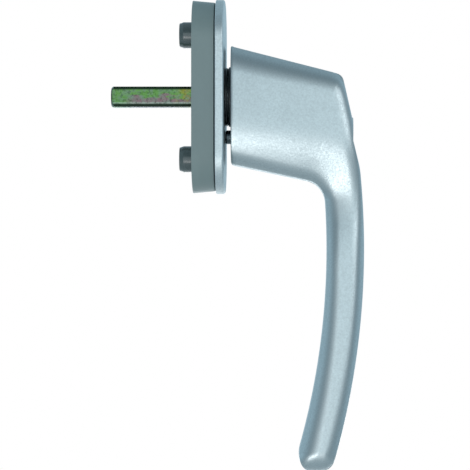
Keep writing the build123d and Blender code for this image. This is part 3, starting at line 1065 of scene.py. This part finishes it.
    def skin(self) -> bpy.types.Object:
        """Build the closed outer skin from its sections.

        Returns:
            The skin, without its neck and bores.
        """
        inner, outer = self.section_lines()
        knots = np.cumsum([0, *self.rings])
        order = np.arange(len(inner))
        last_in_head, first_in_grip = knots[1], knots[5]
        head = eased(order, first_in_grip, last_in_head)
        length = np.linalg.norm(outer - inner, axis=1)
        closing = np.where(order > knots[-2], np.maximum(0.0, 1 - length / self.cap_width) ** 2, 0.0)
        sections = [self.section(*row) for row in zip(inner, outer, head, closing)]
        return loft("lever_skin", self.rear_edge(sections[0]) + sections[1:])

    def bores(self) -> list[bpy.types.Object]:
        """Make the solids that are cut out of the lever.

        Returns:
            The clip groove, socket, pin hole, bolt bore, spring chamber, lock bore and screw hole.
        """
        over = self.overrun
        groove = rod(self.neck_r + over, *self.groove_x)
        core = rod(self.groove_r, self.groove_x[0] - over, self.groove_x[1] + over)
        cut_or_join(groove, core, "DIFFERENCE")
        half = self.socket_af / 2
        square = [(-half, -half), (half, -half), (half, half), (-half, half)]
        bolt_end = self.chamber_x[0] + over / 2
        return [groove,
                prism("socket", square, self.neck_end - over, self.socket_end),
                rod(self.pin_r, -self.pin_half, self.pin_half, (self.pin_x, 0.0), along=1),
                rod(self.bolt_bore_r, self.rear - over, bolt_end, (0.0, self.bolt_z)),
                rod(self.chamber_r, *self.chamber_x, (0.0, self.bolt_z)),
                rod(self.housing_r, *self.housing_x, (0.0, self.plug_z)),
                rod(self.set_screw_r, self.plug_z - self.set_screw_depth, self.plug_z,
                    (self.set_screw_x, 0.0), along=2)]

    def build(self) -> None:
        """Build the lever with its neck and bores, dress it and hang it on its body."""
        skin = self.skin()
        cut_or_join(skin, rod(self.neck_r, self.neck_end, self.rear + self.overrun), "UNION")
        for tool in self.bores():
            cut_or_join(skin, tool, "DIFFERENCE")
        skin.data.set_sharp_from_angle(angle=self.sharp_angle)
        dress(skin, Finishes.LEVER)
        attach(skin, "lever")
        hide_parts("handle_lever")
        LOG.info("lever_skin: %d faces", len(skin.data.polygons))


# --- the return spring --------------------------------------------------------------------------
@dataclass
class ReturnSpring:
    """The coil spring that pushes the lock bolt back, squeezed as the bolt comes out.

    Sizes are in millimetres, and follow the frame's own spring.
    """

    coil_r: float = 2.98
    wire_r: float = 0.2
    turns: int = 5
    start: float = 18.4
    end: float = 25.1
    axis_z: float = -13.9
    seat: float = 18.0
    squeezed: float = 0.32
    steps: int = 40
    sides: int = 12

    def ring(self, turn: float) -> list[Vector]:
        """Place a ring round the wire.

        Args:
            turn: How many turns it is from the spring's start.

        Returns:
            The ring's points.
        """
        x = self.start + self.wire_r + (self.end - self.start - 2 * self.wire_r) * turn / self.turns
        out = Vector((0, math.cos(2 * math.pi * turn), math.sin(2 * math.pi * turn)))
        centre = Vector((x, 0, self.axis_z)) + out * self.coil_r
        ways = [2 * math.pi * k / self.sides for k in range(self.sides)]
        onward = Vector((1, 0, 0))
        return [centre + (out * math.cos(way) + onward * math.sin(way)) * self.wire_r for way in ways]

    def build(self) -> None:
        """Wind the spring, dress it, hang it on the lever and give it its own mesh."""
        count = self.turns * self.steps
        spring = loft("return_spring", [self.ring(k / self.steps) for k in range(count + 1)])
        dress(spring, Finishes.SPRING)
        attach(spring, "lever")
        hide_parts("bolt_spring")
        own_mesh(spring)
        LOG.info("return_spring: %d turns", self.turns)


# --- carried-over pieces ------------------------------------------------------------------------
@dataclass
class Fittings:
    """A group of the frame's own pieces and the finish of each."""

    name: str
    finishes: dict[str, Finishes]
    pegs: dict[str, Finishes] = field(default_factory=dict)
    peg_start: float = -0.1 * MM

    def dress(self) -> None:
        """Dress each piece of the group and report it."""
        for node, finish in self.finishes.items():
            dress(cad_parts[node], finish)
            LOG.info("%s: %s in %s", self.name, node, finish.value.name)
        for node, finish in self.pegs.items():
            self.dress_pegs(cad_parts[node], finish)

    def dress_pegs(self, piece: bpy.types.Object, finish: Finishes) -> None:
        """Give the faces behind the sash face another finish.

        Args:
            piece: The piece with pegs.
            finish: The pegs' finish.
        """
        piece.data.materials.append(finish.material())
        last = len(piece.data.materials) - 1
        for face in piece.data.polygons:
            if (piece.matrix_world @ face.center).x < self.peg_start:
                face.material_index = last


def fittings() -> list[Fittings]:
    """List the groups of carried-over pieces.

    Returns:
        The rosette, the detent, the neck and the lock.
    """
    rosette = Fittings("rosette", {
        "rosette_base": Finishes.GREY, "cover_plate": Finishes.COVER, "cover_liner": Finishes.GREY,
        "keeper_plate": Finishes.ZINC, "bearing_collar": Finishes.BLACK},
        pegs={"rosette_base": Finishes.PEG})
    detent = Fittings("detent", {
        "detent_hub": Finishes.CASTING, "detent_ball_upper": Finishes.BALL,
        "detent_ball_lower": Finishes.BALL, "detent_spring_upper": Finishes.SPRING,
        "detent_spring_lower": Finishes.SPRING})
    neck = Fittings("neck", {
        "neck_ring": Finishes.BLACK, "thrust_washer": Finishes.ZINC, "retaining_ring": Finishes.SPRING,
        "spindle": Finishes.YELLOW, "spindle_pin": Finishes.BALL})
    lock = Fittings("lock", {
        "lock_housing": Finishes.NICKEL, "lock_plug": Finishes.NICKEL, "tumbler_wafers": Finishes.BRASS,
        "plug_cam": Finishes.CASTING, "plug_clip": Finishes.SPRING, "lock_bolt": Finishes.BLACKENED,
        "lock_set_screw": Finishes.BLACKENED})
    return [rosette, detent, neck, lock]


# --- studio -------------------------------------------------------------------------------------
@dataclass(frozen=True)
class SoftBox:
    """A soft rectangular light, hidden from the camera."""

    name: str
    place: Place
    size: Point
    glow: float
    tint: Colour = EVEN
    aim: Place = (0.02, 0.0, -0.05)

    def build(self) -> None:
        """Hang the light, turned to what it aims at, with its power in step with its size."""
        lamp = bpy.data.lights.new(self.name, "AREA")
        lamp.shape = "RECTANGLE"
        lamp.size, lamp.size_y = self.size
        lamp.energy = self.glow * math.pi * self.size[0] * self.size[1]
        lamp.color = self.tint
        made = bpy.data.objects.new(self.name, lamp)
        made.location = self.place
        made.rotation_euler = (Vector(self.aim) - Vector(self.place)).to_track_quat("-Z", "Y").to_euler()
        made.visible_camera = False
        bpy.context.scene.collection.objects.link(made)


@dataclass
class Studio:
    """Plain pale floor in a dim room, soft boxes round the handle, and the camera."""

    floor_z: float = -0.90
    floor_half: float = 2.4
    floor_tones: tuple[Colour, Colour] = ((0.76, 0.75, 0.74), (0.82, 0.81, 0.80))
    floor_clouds: Blotches = Blotches(40.0, 3.0)
    floor_roughness: float = 0.85
    room_tone: Colour = (0.32, 0.44, 0.51)
    front_share: float = 0.68
    side_share: float = 1.55
    back_share: float = 1.45
    top_share: float = 0.76
    front_span: Span = (-0.80, -0.10)
    back_span: Span = (0.1, 0.95)
    top_span: Span = (0.35, 0.95)
    camera_place: Place = (0.038, -0.693, -0.0478)
    lens_mm: float = 153.0
    sensor_mm: float = 36.0
    shift: float = -0.145
    clip: Span = (0.01, 20.0)

    def floor(self) -> None:
        """Lay the floor as one flat sheet."""
        mesh = bmesh.new()
        half = self.floor_half
        corners = [(-half, -half), (half, -half), (half, half), (-half, half)]
        mesh.faces.new([mesh.verts.new((x, y, self.floor_z)) for x, y in corners])
        sheet = as_object("floor", mesh)
        paint = NodeSheet("pale_floor")
        tone = paint.mix(paint.blotches(self.floor_clouds), *self.floor_tones)
        sheet.data.materials.append(paint.finish(Base_Color=tone, Roughness=self.floor_roughness))

    def room(self) -> None:
        """Surround the set with a dim, cool room: a little brighter behind, darker overhead."""
        world = bpy.data.worlds.new("room")
        world.use_nodes = True
        tree = NodeTree(world.node_tree)
        way = tree.add("ShaderNodeTexCoord").outputs["Generated"]
        split = tree.add("ShaderNodeSeparateXYZ", {0: way})
        ramps = (("Y", self.front_span, (self.front_share, self.side_share)),
                 ("Y", self.back_span, (1.0, self.back_share / self.side_share)),
                 ("Z", self.top_span, (1.0, self.top_share)))
        front, back, top = (tree.remap(split.outputs[axis], span, shares, interpolation_type="SMOOTHSTEP")
                            for axis, span, shares in ramps)
        strength = tree.calculate("MULTIPLY", tree.calculate("MULTIPLY", front, back), top)
        dim = tree.add("ShaderNodeBackground", {"Color": (*self.room_tone, 1), "Strength": strength})
        white = tree.add("ShaderNodeBackground", {"Color": (1, 1, 1, 1)})
        seen = tree.add("ShaderNodeLightPath").outputs["Is Camera Ray"]
        choice = tree.add("ShaderNodeMixShader", {0: seen, 1: dim.outputs[0], 2: white.outputs[0]})
        tree.add("ShaderNodeOutputWorld", {"Surface": choice.outputs[0]})
        bpy.context.scene.world = world

    def boxes(self) -> list[SoftBox]:
        """List the soft boxes.

        Returns:
            The front box, low front box, right front box, and one that washes the floor.
        """
        return [SoftBox("front_box", (0.02, -1.50, -0.01), (0.85, 0.88), glow=0.93,
                        tint=(0.86, 0.965, 1.0)),
                SoftBox("low_box", (-0.42, -1.30, -0.63), (0.80, 0.42), glow=3.9),
                SoftBox("right_box", (0.62, -1.36, 0.26), (0.45, 0.80), glow=2.3,
                        tint=(0.93, 0.98, 1.0)),
                SoftBox("floor_wash", (0.0, 1.25, -0.40), (1.60, 0.50), glow=2.6,
                        aim=(0.0, 0.9, self.floor_z))]

    def camera(self) -> None:
        """Look along +Y at the closed handle from its side."""
        lens = bpy.data.cameras.new("side_view")
        lens.sensor_width = self.sensor_mm
        lens.lens = self.lens_mm
        lens.shift_x = self.shift
        lens.clip_start, lens.clip_end = self.clip
        made = bpy.data.objects.new("side_view", lens)
        made.location = self.camera_place
        made.rotation_euler = (math.pi / 2, 0, 0)
        bpy.context.scene.collection.objects.link(made)
        bpy.context.scene.camera = made
        bpy.context.scene.view_settings.view_transform = "Standard"

    def build(self) -> None:
        """Set up the whole studio."""
        self.floor()
        self.room()
        for box in self.boxes():
            box.build()
        self.camera()
        LOG.info("studio: floor, room, lights and camera")


def main() -> None:
    """Build the handle's looks and the studio, in order."""
    logging.basicConfig(level=logging.INFO, format="%(message)s")
    Studio().build()
    Lever().build()
    ReturnSpring().build()
    for group in fittings():
        group.dress()


if __name__ == "__main__":
    main()
